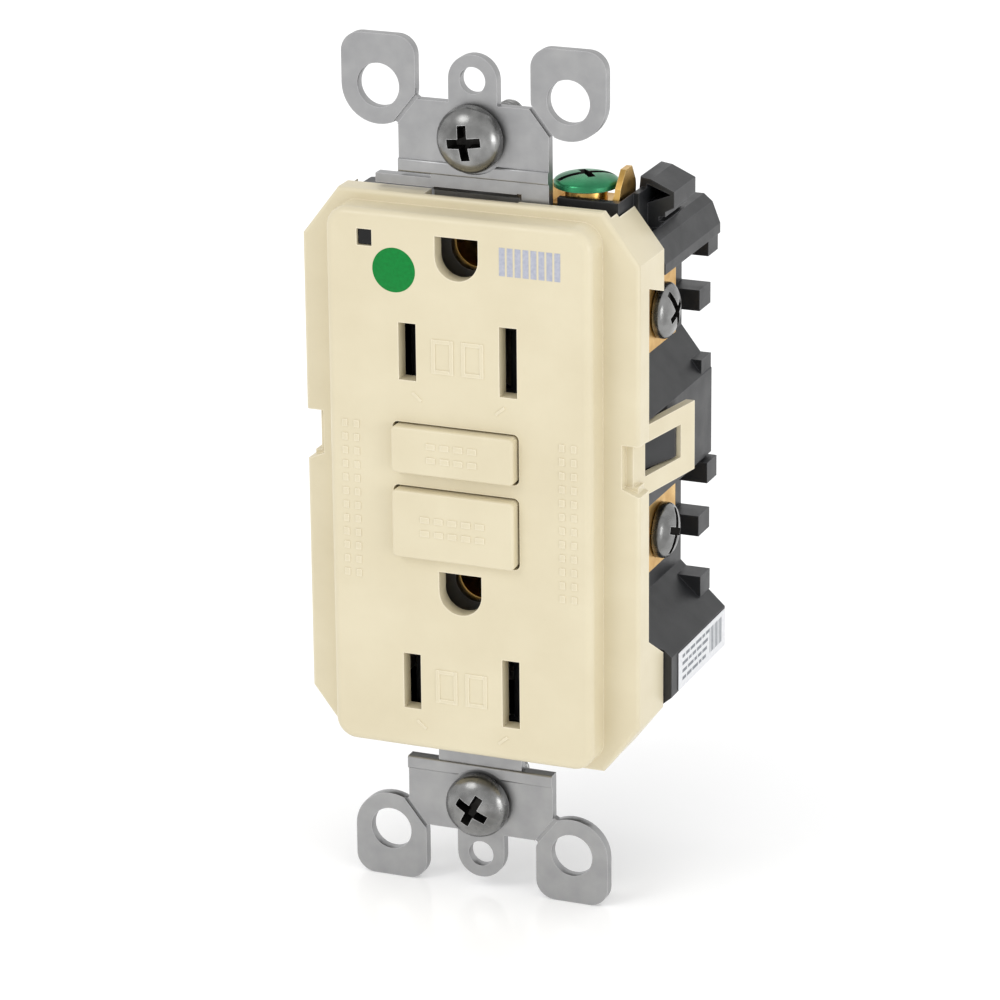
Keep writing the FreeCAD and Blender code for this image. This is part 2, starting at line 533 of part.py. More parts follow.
# ---- inside: conductors and separator ----
def blade_clip(z, height):
    """A channel of sprung brass that grips one blade, and the bar it stands on."""
    half = height / 2
    outer = box(SLOT_X - 1.35, SLOT_X + 1.35, 1.4, 9.6, z - half - 0.6, z + half)
    inner = box(SLOT_X - 0.8, SLOT_X + 0.8, 0, 11, z - half, z + half + 1)
    bridge = box(SLOT_X + 0.8, 10.3, 8.4, 9.6, z - half, z + half)
    return [outer.cut(inner), bridge]


def face_contact(height):
    """One pole of the face: two blade clips on a bar, and a foot with a fixed contact."""
    parts = []
    for z in SLOT_CENTRES:
        parts += blade_clip(z, height)
    parts.append(box(9.7, 10.3, 4.0, 9.6, LOWER_SLOT_Z - height / 2, UPPER_SLOT_Z + height / 2))
    parts.append(box(9.7, 10.3, 9.0, 14.9, RESET_Z - 1.5, RESET_Z + 1.5))
    parts.append(box(4.9, 10.3, 14.3, 14.9, RESET_Z - 1.5, RESET_Z + 1.5))
    parts.append(rod("y", 1.2, 14.8, 0.5, (6.0, RESET_Z)))
    return fuse(parts)


def ground_contact(z):
    """A slit sleeve that grips a ground pin, riveted to the strap."""
    base = rod("y", 4.9, 0.0, 0.5, (0, z)).common(box(-9, 9, -1, 2, -32, 31.4))
    sleeve = rod("y", 3.1, 0.0, 7.6, (0, z))
    bore = rod("y", 2.75, -1, 12, (0, z))
    slit = box(-4, 4, 2.2, 10, z - 0.3, z + 0.3)
    return fuse([base, sleeve]).cut(fuse([bore, slit]))


def separator():
    """The insulating tray between the contacts and the circuit board."""
    outer = box(-13.4, 13.4, 0.9, PLATE_Y + PLATE_T, -30.0, 30.0)
    hollow = box(-12.2, 12.2, 0, PLATE_Y, -28.8, 28.8)
    tray = outer.cut(hollow)
    towers = [rod("y", 2.4, 2.2, PLATE_Y - 1.2, (0, z)) for z in (TEST_Z, RESET_Z)]
    ribs = [box(-12.3, -9.0, 6.0, PLATE_Y + 0.1, z - 0.5, z + 0.5) for z in (8.0, -16.5)]
    ribs = [r.cut(box(-10.6, -9.4, 3.5, 10.1, -40, 40)) for r in ribs]
    solid = fuse([tray, *towers, *ribs, *[mirror_x(r) for r in ribs]])
    cuts = [rod("y", 1.35, 0, 20, (0, TEST_Z)), rod("y", 1.5, 0, 20, (0, RESET_Z))]
    cuts += [box(-16, 16, 0, PLATE_Y - 1.4, z, z + 1.4) for z in (-30.2, 28.7)]
    cuts += [rod("y", 3.0, PLATE_Y - 1, 4, (0, z)) for z in GROUND_CENTRES]
    cuts.append(rod("y", 3.4, -1, 9.5, (0, GROUND_CENTRES[0])))
    cuts.append(rod("z", 2.5, 28.0, 5, (GROUND_SCREW_X, GROUND_SCREW_Y)))
    cuts.append(rod("y", 1.1, -1, 16, (LIGHT_X, LAMP_Z)))
    for side in (-1, 1):
        low, high = sorted((side * 9.4, side * 10.6))
        cuts.append(box(low, high, PLATE_Y - 1, 14, RESET_Z - 1.8, RESET_Z + 1.8))
    return solid.cut(fuse(cuts))


# ---- inside: circuit board and what is on it ----
def circuit_board():
    board = box(-14.6, 14.6, BOARD_Y, BOARD_Y + BOARD_T, -27.6, 27.6)
    holes = [rod("y", 1.8, BOARD_Y - 1, 4, (0, RESET_Z))]
    holes += [rod("y", 3.0, BOARD_Y - 1, 4, place) for place in screw_posts()]
    return board.cut(fuse(holes))


def toroid(y0, thickness, outer, inner):
    centre = (0, TOROID_Z)
    ring = rod("y", outer, y0, thickness, centre).cut(rod("y", inner, y0 - 1, thickness + 2, centre))
    rims = [e for e in ring.Edges if e.Length > 6 and e.Closed]
    return ring.makeFillet(0.7, rims)


def coil_boot():
    """The moulded case that both sensing coils sit in."""
    outer = rod("y", 8.1, 13.5, 6.7, (0, TOROID_Z))
    pockets = [rod("y", 7.5, y, 2.7, (0, TOROID_Z)).cut(rod("y", 3.3, y - 1, 5, (0, TOROID_Z))) for y in (14.0, 17.2)]
    bore = rod("y", 2.7, 10, 14, (0, TOROID_Z))
    return outer.cut(fuse([*pockets, bore]))


def line_conductor():
    """The bar that takes one pole through the coils and down to its contact arm."""
    post = box(0.6, 1.8, 12.9, BOARD_Y - 0.05, TOROID_Z - 0.9, TOROID_Z + 0.9)
    run = box(0.6, 1.8, 12.9, 13.35, 6.7, TOROID_Z + 0.9)
    cross = box(0.6, 7.5, 12.9, 13.35, 6.7, 8.2)
    drop = box(4.6, 7.4, 12.9, 16.6, ARM_PIVOT_Z + 0.3, 8.2)
    return fuse([post, run, cross, drop])


def contact_arm():
    """The sprung arm that carries one pole's moving contact."""
    arm = box(4.6, 7.4, 16.0, 16.5, RESET_Z - 1.6, ARM_PIVOT_Z)
    knuckle = rod("x", 0.25, 4.6, 2.8, (ARM_PIVOT_Y, ARM_PIVOT_Z))
    return fuse([arm, knuckle, rod("y", 1.2, 15.35, 0.8, (6.0, RESET_Z))])


def contact_carriage():
    """The block that lifts both contact arms when the device is reset."""
    body = box(-3.2, 3.2, 16.6, 18.4, -8.4, -1.2)
    wings = box(-7.8, 7.8, 16.6, 17.6, RESET_Z - 0.2, RESET_Z + 1.8)
    channel = box(-2.1, 2.1, 17.1, 17.8, -12, 2)
    bore = rod("y", 1.6, 10, 12, (0, RESET_Z))
    return fuse([body, wings]).cut(fuse([channel, bore]))


def latch_plate():
    """The steel slide inside the carriage that catches the reset pin."""
    plate = box(-1.9, 1.9, 17.2, 17.7, -10.6, -0.9)
    tab = box(-1.9, 1.9, 17.2, 18.6, -11.1, -10.6)
    hole = fuse([rod("y", 1.45, 10, 12, (0, z)) for z in (RESET_Z, RESET_Z - LATCH_TRAVEL)])
    slot = box(-1.45, 1.45, 10, 22, RESET_Z - LATCH_TRAVEL, RESET_Z)
    return fuse([plate, tab]).cut(fuse([hole, slot]))


def solenoid_bobbin():
    tube = rod("z", 1.85, COIL_Z0, COIL_Z1 - COIL_Z0, (0, SOLENOID_Y))
    ends = [box(-3.3, 3.3, SOLENOID_Y - 3.3, SOLENOID_Y + 3.3, z, z + 0.8) for z in (COIL_Z0, COIL_Z1 - 0.8)]
    return fuse([tube, *ends]).cut(rod("z", PLUNGER_R + 0.08, -40, 40, (0, SOLENOID_Y)))


def solenoid_coil():
    outer = rod("z", 3.15, COIL_Z0 + 0.9, COIL_Z1 - COIL_Z0 - 1.8, (0, SOLENOID_Y))
    return outer.cut(rod("z", 1.9, -30, 20, (0, SOLENOID_Y)))


def plunger():
    centre = (0, SOLENOID_Y)
    foot = COIL_Z0 - 2.2
    return fuse([rod("z", PLUNGER_R, foot, -15.2 - foot, centre), rod("z", 0.7, -15.3, 4.0, centre),
                 rod("z", 2.3, foot - 0.6, 0.6, centre)])


def test_contact_leaf():
    leaf = box(-12.0, 1.4, 13.95, 14.25, TEST_Z - 0.9, TEST_Z + 0.9)
    return leaf.fuse(rod("z", 0.3, TEST_Z - 0.9, 1.8, (-12.0, 14.1)))


def test_post():
    """Fixed post that the test leaf is riveted to."""
    return box(-13.4, -12.35, 13.2, BOARD_Y - 0.05, TEST_Z - 0.9, TEST_Z + 0.9)


def varistor():
    disc = rod("x", 3.3, 7.4, 2.8, (17.2, -23.5))
    disc = disc.makeFillet(0.8, [e for e in disc.Edges if e.Closed and e.Length > 6])
    legs = [box(8.5, 9.1, 19.8, BOARD_Y - 0.02, z, z + 0.6) for z in (-25.2, -22.4)]
    return fuse([disc, *legs])


def film_capacitor():
    body = box(-12.6, -6.4, 14.6, 20.2, -27.6, -19.0)
    body = body.makeFillet(0.5, [e for e in body.Edges if abs(e.tangentAt(e.FirstParameter).y) > 0.9])
    legs = [box(-9.8, -9.2, 20.1, BOARD_Y - 0.02, z, z + 0.6) for z in (-26.4, -20.8)]
    return fuse([body, *legs])


def resistor(z):
    """A small axial resistor standing just off the board."""
    body = rod("x", 0.9, -12.6, 4.2, (19.4, z))
    legs = [box(x, x + 0.4, 19.2, BOARD_Y - 0.02, z - 0.2, z + 0.2) for x in (-13.2, -8.0)]
    wire = rod("x", 0.2, -13.2, 5.6, (19.4, z))
    return fuse([body, wire, *legs])


def control_chip():
    body = box(8.2, 12.6, 19.4, 20.6, -2.6, 3.2)
    pins = []
    for i in range(4):
        z = -2.0 + 1.27 * i
        pins.append(box(7.2, 13.6, 20.3, BOARD_Y - 0.02, z, z + 0.45))
    return fuse([body, *pins])


def status_led():
    dome = rod("y", 1.2, 19.4, 1.35, (LIGHT_X, LAMP_Z))
    return fuse([dome, rod("y", 1.45, 20.3, 0.45, (LIGHT_X, LAMP_Z))])


# ---- write every node ----
def build():
    os.makedirs("parts", exist_ok=True)
    save("face_cover", face_cover())
    save("rear_housing", rear_housing())
    save("side_label", side_label())
    save("separator", separator())
    save("mounting_strap", mounting_strap())
    save("upper_device_screw", device_screw(SCREW_Z))
    save("lower_device_screw", device_screw(-SCREW_Z))
    save("retaining_washers", Part.makeCompound([retaining_washer(z) for z in (SCREW_Z, -SCREW_Z)]))
    save("ground_screw", ground_screw())
    save("ground_clamp", ground_clamp())
    save("assembly_screws", Part.makeCompound([assembly_screw(x, z) for x, z in screw_posts()]))
    for role, z in (("line", UPPER_TERMINAL_Z), ("load", LOWER_TERMINAL_Z)):
        for part_name, maker in (("screw", terminal_screw), ("clamp", wire_clamp), ("terminal", terminal_plate)):
            shape = maker(z)
            save(f"{role}_neutral_{part_name}", shape)
            save(f"{role}_hot_{part_name}", mirror_x(shape))
    save("test_button", button(TEST_Z, TEST_H, 1.0, 13.7))
    save("reset_button", button(RESET_Z, RESET_H, 1.2, 19.2))
    save("test_return_spring", coil_spring("y", (0, TEST_Z), -2.25, 2.15, 1.95, 0.2, 5))
    save("reset_spring", coil_spring("y", (0, RESET_Z), -2.25, 2.15, 1.95, 0.24, 4))
    save("light_pipe", light_pipe())
    save("upper_shutter", shutter(UPPER_SLOT_Z))
    save("lower_shutter", shutter(LOWER_SLOT_Z))
    for name, z in (("upper", UPPER_SLOT_Z), ("lower", LOWER_SLOT_Z)):
        save(f"{name}_shutter_spring", coil_spring("x", (FACE_Y + 3.25, z), 8.45, 14.05, 0.85, 0.15, 7))
    save("neutral_face_contact", face_contact(NEUTRAL_SLOT_H))
    save("hot_face_contact", mirror_x(face_contact(HOT_SLOT_H)))
    save("upper_ground_contact", ground_contact(GROUND_CENTRES[0]))
    save("lower_ground_contact", ground_contact(GROUND_CENTRES[1]))
    save("circuit_board", circuit_board())
    save("fault_sensing_coil", toroid(14.1, 2.5, 7.4, 3.4))
    save("neutral_sensing_coil", toroid(17.3, 2.5, 7.4, 3.4))
    save("coil_boot", coil_boot())
    bar = line_conductor()
    save("line_conductors", Part.makeCompound([bar, mirror_x(bar)]))
    save("neutral_contact_arm", contact_arm())
    save("hot_contact_arm", mirror_x(contact_arm()))
    save("contact_carriage", contact_carriage())
    save("latch_plate", latch_plate())
    save("solenoid_bobbin", solenoid_bobbin())
    save("solenoid_coil", solenoid_coil())
    save("solenoid_plunger", plunger())
    save("plunger_spring", coil_spring("z", (0, SOLENOID_Y), COIL_Z0 - 2.2, COIL_Z0, 1.75, 0.18, 3))
    save("test_contact_leaf", test_contact_leaf())
    save("test_contact_post", test_post())
    save("surge_varistor", varistor())
    save("film_capacitor", film_capacitor())
    save("resistors", Part.makeCompound([resistor(z) for z in (0.8, -2.2, -5.2)]))
    save("control_chip", control_chip())
    save("status_led", status_led())


build()
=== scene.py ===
import json
import math

import bmesh
import bpy
from mathutils import Matrix, Vector


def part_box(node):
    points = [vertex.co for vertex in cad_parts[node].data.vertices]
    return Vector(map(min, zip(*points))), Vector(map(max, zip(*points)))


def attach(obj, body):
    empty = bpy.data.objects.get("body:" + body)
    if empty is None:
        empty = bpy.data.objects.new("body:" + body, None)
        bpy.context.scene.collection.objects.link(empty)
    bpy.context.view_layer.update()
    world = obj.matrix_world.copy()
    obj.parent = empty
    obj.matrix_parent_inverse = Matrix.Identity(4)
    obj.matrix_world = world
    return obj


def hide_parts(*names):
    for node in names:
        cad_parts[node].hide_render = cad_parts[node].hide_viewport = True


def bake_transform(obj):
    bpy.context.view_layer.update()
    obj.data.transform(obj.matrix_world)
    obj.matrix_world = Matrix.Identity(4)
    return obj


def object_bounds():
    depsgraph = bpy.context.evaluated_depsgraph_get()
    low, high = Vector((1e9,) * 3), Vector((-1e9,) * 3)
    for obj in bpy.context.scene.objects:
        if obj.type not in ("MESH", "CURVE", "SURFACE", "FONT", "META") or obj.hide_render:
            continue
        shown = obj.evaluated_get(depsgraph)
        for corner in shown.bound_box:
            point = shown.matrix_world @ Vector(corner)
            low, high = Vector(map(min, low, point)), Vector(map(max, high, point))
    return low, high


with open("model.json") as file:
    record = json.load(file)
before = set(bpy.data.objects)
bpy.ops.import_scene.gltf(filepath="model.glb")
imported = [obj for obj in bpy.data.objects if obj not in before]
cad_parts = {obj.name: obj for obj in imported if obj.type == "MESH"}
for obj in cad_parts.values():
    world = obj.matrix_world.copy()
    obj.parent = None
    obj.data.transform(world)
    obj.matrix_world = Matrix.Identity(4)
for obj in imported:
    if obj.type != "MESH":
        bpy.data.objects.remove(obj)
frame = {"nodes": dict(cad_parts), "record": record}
cad_bounds = [list(corner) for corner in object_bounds()]
NODES = frame["nodes"]

# ---- sizes, in metres ----
MM = 0.001
SHELL_EDGE = 0.22 * MM        # rounding of moulded edges
SHEET_EDGE = 0.12 * MM        # rounding of stamped edges
SMALL_EDGE = 0.08 * MM        # rounding of every other edge
RELIEF = 0.10 * MM            # height of raised marks on the face
RELIEF_EDGE = 0.04 * MM       # rounding of raised marks
INK = 0.02 * MM               # thickness of printed marks
SINK = 0.02 * MM              # depth that marks and shanks reach into the surface they stand on
PITCH = 0.79375 * MM          # thread pitch of every screw, 32 turns to the inch
SHARP = math.radians(35)      # edges steeper than this are shaded sharp


def low(node):
    """The lowest corner of a CAD node's box."""
    return Vector(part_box(node)[0])


def high(node):
    """The highest corner of a CAD node's box."""
    return Vector(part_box(node)[1])


def middle(node):
    """The centre of a CAD node's box."""
    return (low(node) + high(node)) / 2


def half_width(node):
    """Half of a CAD node's size along X."""
    return (high(node).x - low(node).x) / 2


FACE_Y = low("face_cover").y
BACK_Y = high("rear_housing").y
BUTTON_Y = low("test_button").y


# ---- colour and node helpers ----
def linear(r, g, b):
    """Linear colour from sRGB values of 0 to 255."""
    values = []
    for c in (r, g, b):
        c /= 255
        values.append(c / 12.92 if c <= 0.04045 else ((c + 0.055) / 1.055) ** 2.4)
    return (*values, 1.0)


class Shader:
    """A Principled material with a few short calls for the nodes that drive it."""

    def __init__(self, name, rough=0.4, metallic=0.0, **constants):
        self.material = bpy.data.materials.new(name)
        self.material.use_nodes = True
        self.tree = self.material.node_tree
        self.bsdf = self.tree.nodes["Principled BSDF"]
        self.bsdf.inputs["Roughness"].default_value = rough
        self.bsdf.inputs["Metallic"].default_value = metallic
        for socket, value in constants.items():
            self.bsdf.inputs[socket.replace("_", " ")].default_value = value
        self.coords = self.tree.nodes.new("ShaderNodeTexCoord").outputs["Object"]

    def link(self, source, target):
        """Joins an output socket to an input socket."""
        self.tree.links.new(source, target)

    def stretched(self, scale):
        """Object coordinates scaled by (x, y, z)."""
        mapping = self.tree.nodes.new("ShaderNodeMapping")
        mapping.inputs["Scale"].default_value = scale
        self.link(self.coords, mapping.inputs["Vector"])
        return mapping.outputs["Vector"]

    def noise(self, size, detail=3.0, vector=None):
        """Noise whose blotches are about size metres across."""
        node = self.tree.nodes.new("ShaderNodeTexNoise")
        node.inputs["Scale"].default_value = 1 / size if vector is None else 1.0
        node.inputs["Detail"].default_value = detail
        self.link(vector or self.coords, node.inputs["Vector"])
        return node.outputs["Fac"]

    def ramp(self, source, stops):
        """A colour ramp with stops of (place, colour)."""
        node = self.tree.nodes.new("ShaderNodeValToRGB")
        points = node.color_ramp.elements
        while len(points) < len(stops):
            points.new(0.5)
        for point, (place, colour) in zip(points, stops):
            point.position = place
            point.color = colour if len(colour) == 4 else (*colour, 1)
        self.link(source, node.inputs["Fac"])
        return node.outputs["Color"]

    def grey(self, source, a, b, low_end=0.3, high_end=0.7):
        """A grey that goes from a to b as source goes from low_end to high_end."""
        return self.ramp(source, [(low_end, (a, a, a)), (high_end, (b, b, b))])

    def mix(self, factor, a, b):
        """Colour a where factor is 0, and b where it is 1."""
        node = self.tree.nodes.new("ShaderNodeMix")
        node.data_type = "RGBA"
        for socket, value in ((node.inputs[0], factor), (node.inputs[6], a), (node.inputs[7], b)):
            if isinstance(value, (tuple, float)):
                socket.default_value = value
            else:
                self.link(value, socket)
        return node.outputs[2]

    def edges(self, radius):
        """About 1 where a convex or concave edge is within radius, 0 on flat surfaces."""
        bevel = self.tree.nodes.new("ShaderNodeBevel")
        bevel.samples = 4
        bevel.inputs["Radius"].default_value = radius
        geometry = self.tree.nodes.new("ShaderNodeNewGeometry")
        dot = self.tree.nodes.new("ShaderNodeVectorMath")
        dot.operation = "DOT_PRODUCT"
        self.link(bevel.outputs[0], dot.inputs[0])
        self.link(geometry.outputs["Normal"], dot.inputs[1])
        spread = self.tree.nodes.new("ShaderNodeMapRange")
        spread.inputs["From Min"].default_value = 1.0
        spread.inputs["From Max"].default_value = 0.86      # the two normals are 30 degrees apart
        self.link(dot.outputs["Value"], spread.inputs["Value"])
        return spread.outputs[0]

    def bump(self, *layers):
        """Layers of (height source, distance in metres), each on top of the one before."""
        normal = None
        for source, distance in layers:
            node = self.tree.nodes.new("ShaderNodeBump")
            node.inputs["Distance"].default_value = distance
            self.link(source, node.inputs["Height"])
            if normal is not None:
                self.link(normal, node.inputs["Normal"])
            normal = node.outputs["Normal"]
        self.link(normal, self.bsdf.inputs["Normal"])

    def colour(self, source):
        """Drives the base colour."""
        self.link(source, self.bsdf.inputs["Base Color"])

    def roughness(self, source):
        """Drives the roughness."""
        self.link(source, self.bsdf.inputs["Roughness"])


# ---- materials ----
def moulded(name, tone, deep, worn, rough=(0.28, 0.42), grain=0.006 * MM):
    """Moulded plastic: cloudy colour, fine texture, faint flow marks and worn edges."""
    s = Shader(name, IOR=1.5)
    cloud = s.noise(9 * MM, 4)
    flow = s.noise(1, 3, s.stretched((90, 90, 420)))      # blotches per metre, flattened along Z
    body = s.mix(s.grey(cloud, 0, 1), tone, deep)
    body = s.mix(s.grey(flow, 0, 0.25), body, deep)
    body = s.mix(s.edges(0.25 * MM), body, worn)
    dust = s.grey(s.noise(0.35 * MM, 2), 0, 0.16, 0.62, 0.72)
    s.colour(s.mix(dust, body, deep))
    s.roughness(s.grey(s.noise(3 * MM, 4), *rough))
    s.bump((s.noise(0.16 * MM, 2), grain), (cloud, 0.02 * MM))
    return s.material


def plated(name, tone, deep, rough=(0.25, 0.42), lines=(1, 1, 1), worn=None, metallic=1.0):
    """Plated or rolled metal: fine lines, patches of oxide and bright worn edges."""
    s = Shader(name, metallic=metallic)
    patches = s.noise(2.4 * MM, 5)
    scratches = s.noise(1, 2, s.stretched([700 * k for k in lines]))      # per metre
    body = s.mix(s.grey(patches, 0, 1), tone, deep)
    body = s.mix(s.grey(scratches, 0, 0.35, 0.45, 0.8), body, deep)
    s.colour(s.mix(s.edges(0.12 * MM), body, worn or tone))
    s.roughness(s.grey(patches, *rough))
    s.bump((scratches, 0.012 * MM), (s.noise(0.5 * MM, 3), 0.01 * MM))
    return s.material


def printed(name, tone, deep):
    """Ink or film with a slightly uneven coat."""
    s = Shader(name, rough=0.6, Specular_IOR_Level=0.25)
    s.colour(s.mix(s.grey(s.noise(0.4 * MM, 3), 0, 1), tone, deep))
    s.bump((s.noise(0.2 * MM, 2), 0.004 * MM))
    return s.material


def clear(name, tone, deep):
    """Tinted see-through plastic with a faintly cloudy surface."""
    s = Shader(name, rough=0.12, IOR=1.49, Transmission_Weight=0.4, Specular_IOR_Level=0.2)
    s.colour(s.mix(s.grey(s.noise(2 * MM, 3), 0, 1), tone, deep))
    s.roughness(s.grey(s.noise(0.6 * MM, 3), 0.08, 0.2))
    return s.material


def coated_board(name):
    """Green solder mask with faint copper tracks under it."""
    s = Shader(name, rough=0.25)
    bands = s.noise(1, 0, s.stretched((330, 1, 60)))
    tracks = s.ramp(bands, [(0.47, (0, 0, 0)), (0.5, (1, 1, 1)), (0.53, (0, 0, 0))])
    mask = s.mix(s.grey(s.noise(3 * MM), 0, 1), linear(30, 98, 58), linear(22, 78, 48))
    s.colour(s.mix(tracks, mask, linear(66, 140, 84)))
    s.roughness(s.grey(s.noise(0.4 * MM), 0.18, 0.35))
    return s.material


IVORY = moulded("ivory nylon", linear(222, 212, 183), linear(215, 204, 174), linear(238, 229, 206))
BLACK = moulded("black nylon", linear(34, 35, 37), linear(24, 25, 27), linear(62, 63, 66), (0.37, 0.47),
                0.012 * MM)
NATURAL = moulded("natural nylon", linear(222, 221, 214), linear(206, 205, 196), linear(235, 234, 228))
STEEL = plated("zinc plated steel", linear(168, 168, 168), linear(160, 160, 161), (0.36, 0.46), (1, 1, 0.06),
               linear(200, 200, 201))
SCREW = plated("nickel plated screw", linear(150, 150, 149), linear(106, 106, 105), (0.2, 0.34),
               worn=linear(222, 222, 222))
# dark metal for the cut faces of screw recesses and slots: painted shade inside the hollows
SHADED_RECESS = plated("recess with painted shade", linear(58, 57, 55), linear(36, 35, 34), (0.4, 0.6))
GREEN = plated("green dyed screw", linear(52, 150, 100), linear(34, 112, 74), (0.24, 0.38),
               worn=linear(120, 190, 150), metallic=0.6)
BRASS = plated("rolled brass", linear(226, 186, 110), linear(196, 152, 80), (0.24, 0.4), (1, 0.06, 1),
               linear(246, 216, 150))
COPPER = plated("enamelled copper", linear(190, 104, 58), linear(150, 76, 40), (0.2, 0.36),
                worn=linear(222, 140, 90))
SPRING = plated("spring wire", linear(168, 170, 174), linear(128, 130, 136), (0.2, 0.36))
FIBRE = printed("brown fibre", linear(116, 82, 54), linear(92, 62, 40))
LABEL = printed("label film", linear(232, 233, 235), linear(218, 219, 222))
LABEL_INK = printed("label ink", linear(120, 124, 130), linear(146, 150, 154))
GREEN_INK = printed("green ink", linear(0, 132, 54), linear(0, 118, 46))
GREY_INK = printed("grey ink", linear(166, 170, 186), linear(186, 188, 198))
SMOKED = clear("smoked plastic", linear(13, 13, 14), linear(7, 7, 8))
BOARD = coated_board("circuit board")
BLUE = moulded("blue dip coat", linear(44, 84, 160), linear(32, 64, 132), linear(80, 120, 190))
TAN = moulded("resistor lacquer", linear(196, 164, 120), linear(170, 136, 94), linear(214, 188, 150))
YELLOW = moulded("yellow case", linear(214, 170, 58), linear(190, 146, 42), linear(232, 198, 110))
CARBON = moulded("moulded component", linear(40, 40, 42), linear(28, 28, 30), linear(70, 70, 72))

FINISHES = {
    "ivory_plastic": IVORY, "black_plastic": BLACK, "inner_plastic": NATURAL, "strap_steel": STEEL,
    "screw_steel": SCREW, "green_steel": GREEN, "brass": BRASS, "copper": COPPER, "label_white": LABEL,
    "fibre": FIBRE, "spring_steel": SPRING, "smoked_plastic": SMOKED, "board_green": BOARD,
    "component_blue": BLUE, "component_tan": TAN, "component_black": CARBON, "component_yellow": YELLOW,
}
EDGE_RADIUS = {
    "ivory_plastic": SHELL_EDGE, "black_plastic": SHELL_EDGE, "strap_steel": SHEET_EDGE, "brass": SHEET_EDGE,
}


# ---- CAD nodes: finish and softened edges ----
def dress(node, slot_name):
    """Gives a CAD node its finish and, through modifiers, the small radii a mould or press leaves."""
    obj = NODES[node]
    obj.data.materials.clear()
    obj.data.materials.append(FINISHES[slot_name])
    weld = obj.modifiers.new("weld", "WELD")
    weld.merge_threshold = 0.001 * MM
    flat = obj.modifiers.new("flat", "DECIMATE")
    flat.decimate_type = "DISSOLVE"
    flat.angle_limit = math.radians(0.4)      # joins the triangles of each flat face
    bevel = obj.modifiers.new("edge", "BEVEL")
    bevel.limit_method = "ANGLE"
    bevel.angle_limit = math.radians(38)      # leaves the facets of round faces alone
    bevel.width = EDGE_RADIUS.get(slot_name, SMALL_EDGE)
    bevel.segments = 2
    bevel.harden_normals = True
    bevel.use_clamp_overlap = True


SLOTS = {entry["node"]: entry["material_slot"] for entry in frame["record"]["subparts"]}
for node_name, slot_name in SLOTS.items():
    dress(node_name, slot_name)


# ---- mesh helpers ----
# rotations that turn +Z to face a side of the device
TO_ROOM = Matrix.Rotation(math.pi / 2, 4, "X")
TO_WALL = Matrix.Rotation(-math.pi / 2, 4, "X")
TO_RIGHT = Matrix.Rotation(math.pi / 2, 4, "Y")
TO_LEFT = Matrix.Rotation(-math.pi / 2, 4, "Y")
UPRIGHT = Matrix.Identity(4)


def new_mesh(name, mesh_maker, place):
    """The mesh that mesh_maker(bmesh) makes, with its faces outwards, moved by place."""
    bm = bmesh.new()
    mesh_maker(bm)
    bmesh.ops.recalc_face_normals(bm, faces=bm.faces)
    mesh = bpy.data.meshes.new(name)
    bm.to_mesh(mesh)
    bm.free()
    mesh.transform(place)
    return mesh


def new_object(name, data):
    """An object of data, linked to the scene."""
    obj = bpy.data.objects.new(name, data)
    bpy.context.scene.collection.objects.link(obj)
    return obj


def shade(mesh):
    """Smooth shading with sharp edges."""
    mesh.shade_smooth()
    mesh.set_sharp_from_angle(angle=SHARP)


def piece(name, mesh_maker, material, body, place=UPRIGHT):
    """A new object from mesh_maker(bmesh), riding on a CAD body if one is given."""
    mesh = new_mesh(name, mesh_maker, place)
    mesh.materials.append(material)
    shade(mesh)
    obj = new_object(name, mesh)
    if body:
        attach(obj, body)
    return obj


def lathe(bm, profile, steps=64):
    """Turns (radius, height) points round +Z. A point on the axis becomes one vertex."""
    turn = [2 * math.pi * i / steps for i in range(steps)]
    rings = []
    for radius, height in profile:
        if radius < 1e-9:
            rings.append([bm.verts.new((0, 0, height))])
        else:
            rings.append([bm.verts.new((radius * math.cos(a), radius * math.sin(a), height)) for a in turn])
    bridge(bm, rings)


def bridge(bm, rings):
    """Faces between each ring of vertices and the next; a ring may be a single vertex."""
    for a, b in zip(rings, rings[1:]):
        count = max(len(a), len(b))
        for i in range(count):
            j = (i + 1) % count
            corners = [a[i % len(a)], a[j % len(a)], b[j % len(b)], b[i % len(b)]]
            unique = list(dict.fromkeys(corners))
            if len(unique) > 2:
                bm.faces.new(unique)


def dome(radius, base, top, steps=12):
    """Profile points of a quarter ellipse from (radius, base) to the axis at top."""
    angles = [math.pi / 2 * i / steps for i in range(steps)]
    return [(radius * math.cos(a), base + (top - base) * math.sin(a)) for a in angles] + [(0, top)]


def threaded_shank(bm, radius, start, end, steps=40):
    """A right-handed thread round +Z from start down to end, faded in at start and chamfered at end."""
    thread_depth = 0.55 * PITCH
    fade_length, tip_length = 0.8 * PITCH, 1.6 * PITCH
    tip_scale, tip_blunt = 0.38, 0.35
    crest_gain = 1.35             # above 1, so that the crests are flat
    rings_per_turn = 8
    count = int((start - end) / PITCH * rings_per_turn)
    rings = []
    for k in range(count + 1):
        z = start - (start - end) * k / count
        tip = min(1.0, (z - end) / tip_length + tip_blunt)
        fade = min(1.0, (start - z) / fade_length)
        ring = []
        for i in range(steps):
            phase = (z / PITCH - i / steps) % 1.0
            crest = 1 - abs(2 * phase - 1)
            reach = radius - thread_depth * (1 - min(1.0, crest * crest_gain)) * fade
            reach = min(reach, radius * (1 - tip_scale + tip_scale * tip))
            a = 2 * math.pi * i / steps
            ring.append(bm.verts.new((reach * math.cos(a), reach * math.sin(a), z)))
        rings.append(ring)
    top = [bm.verts.new((0, 0, start))]
    bottom = [bm.verts.new((0, 0, end))]
    bridge(bm, [top, *rings, bottom])


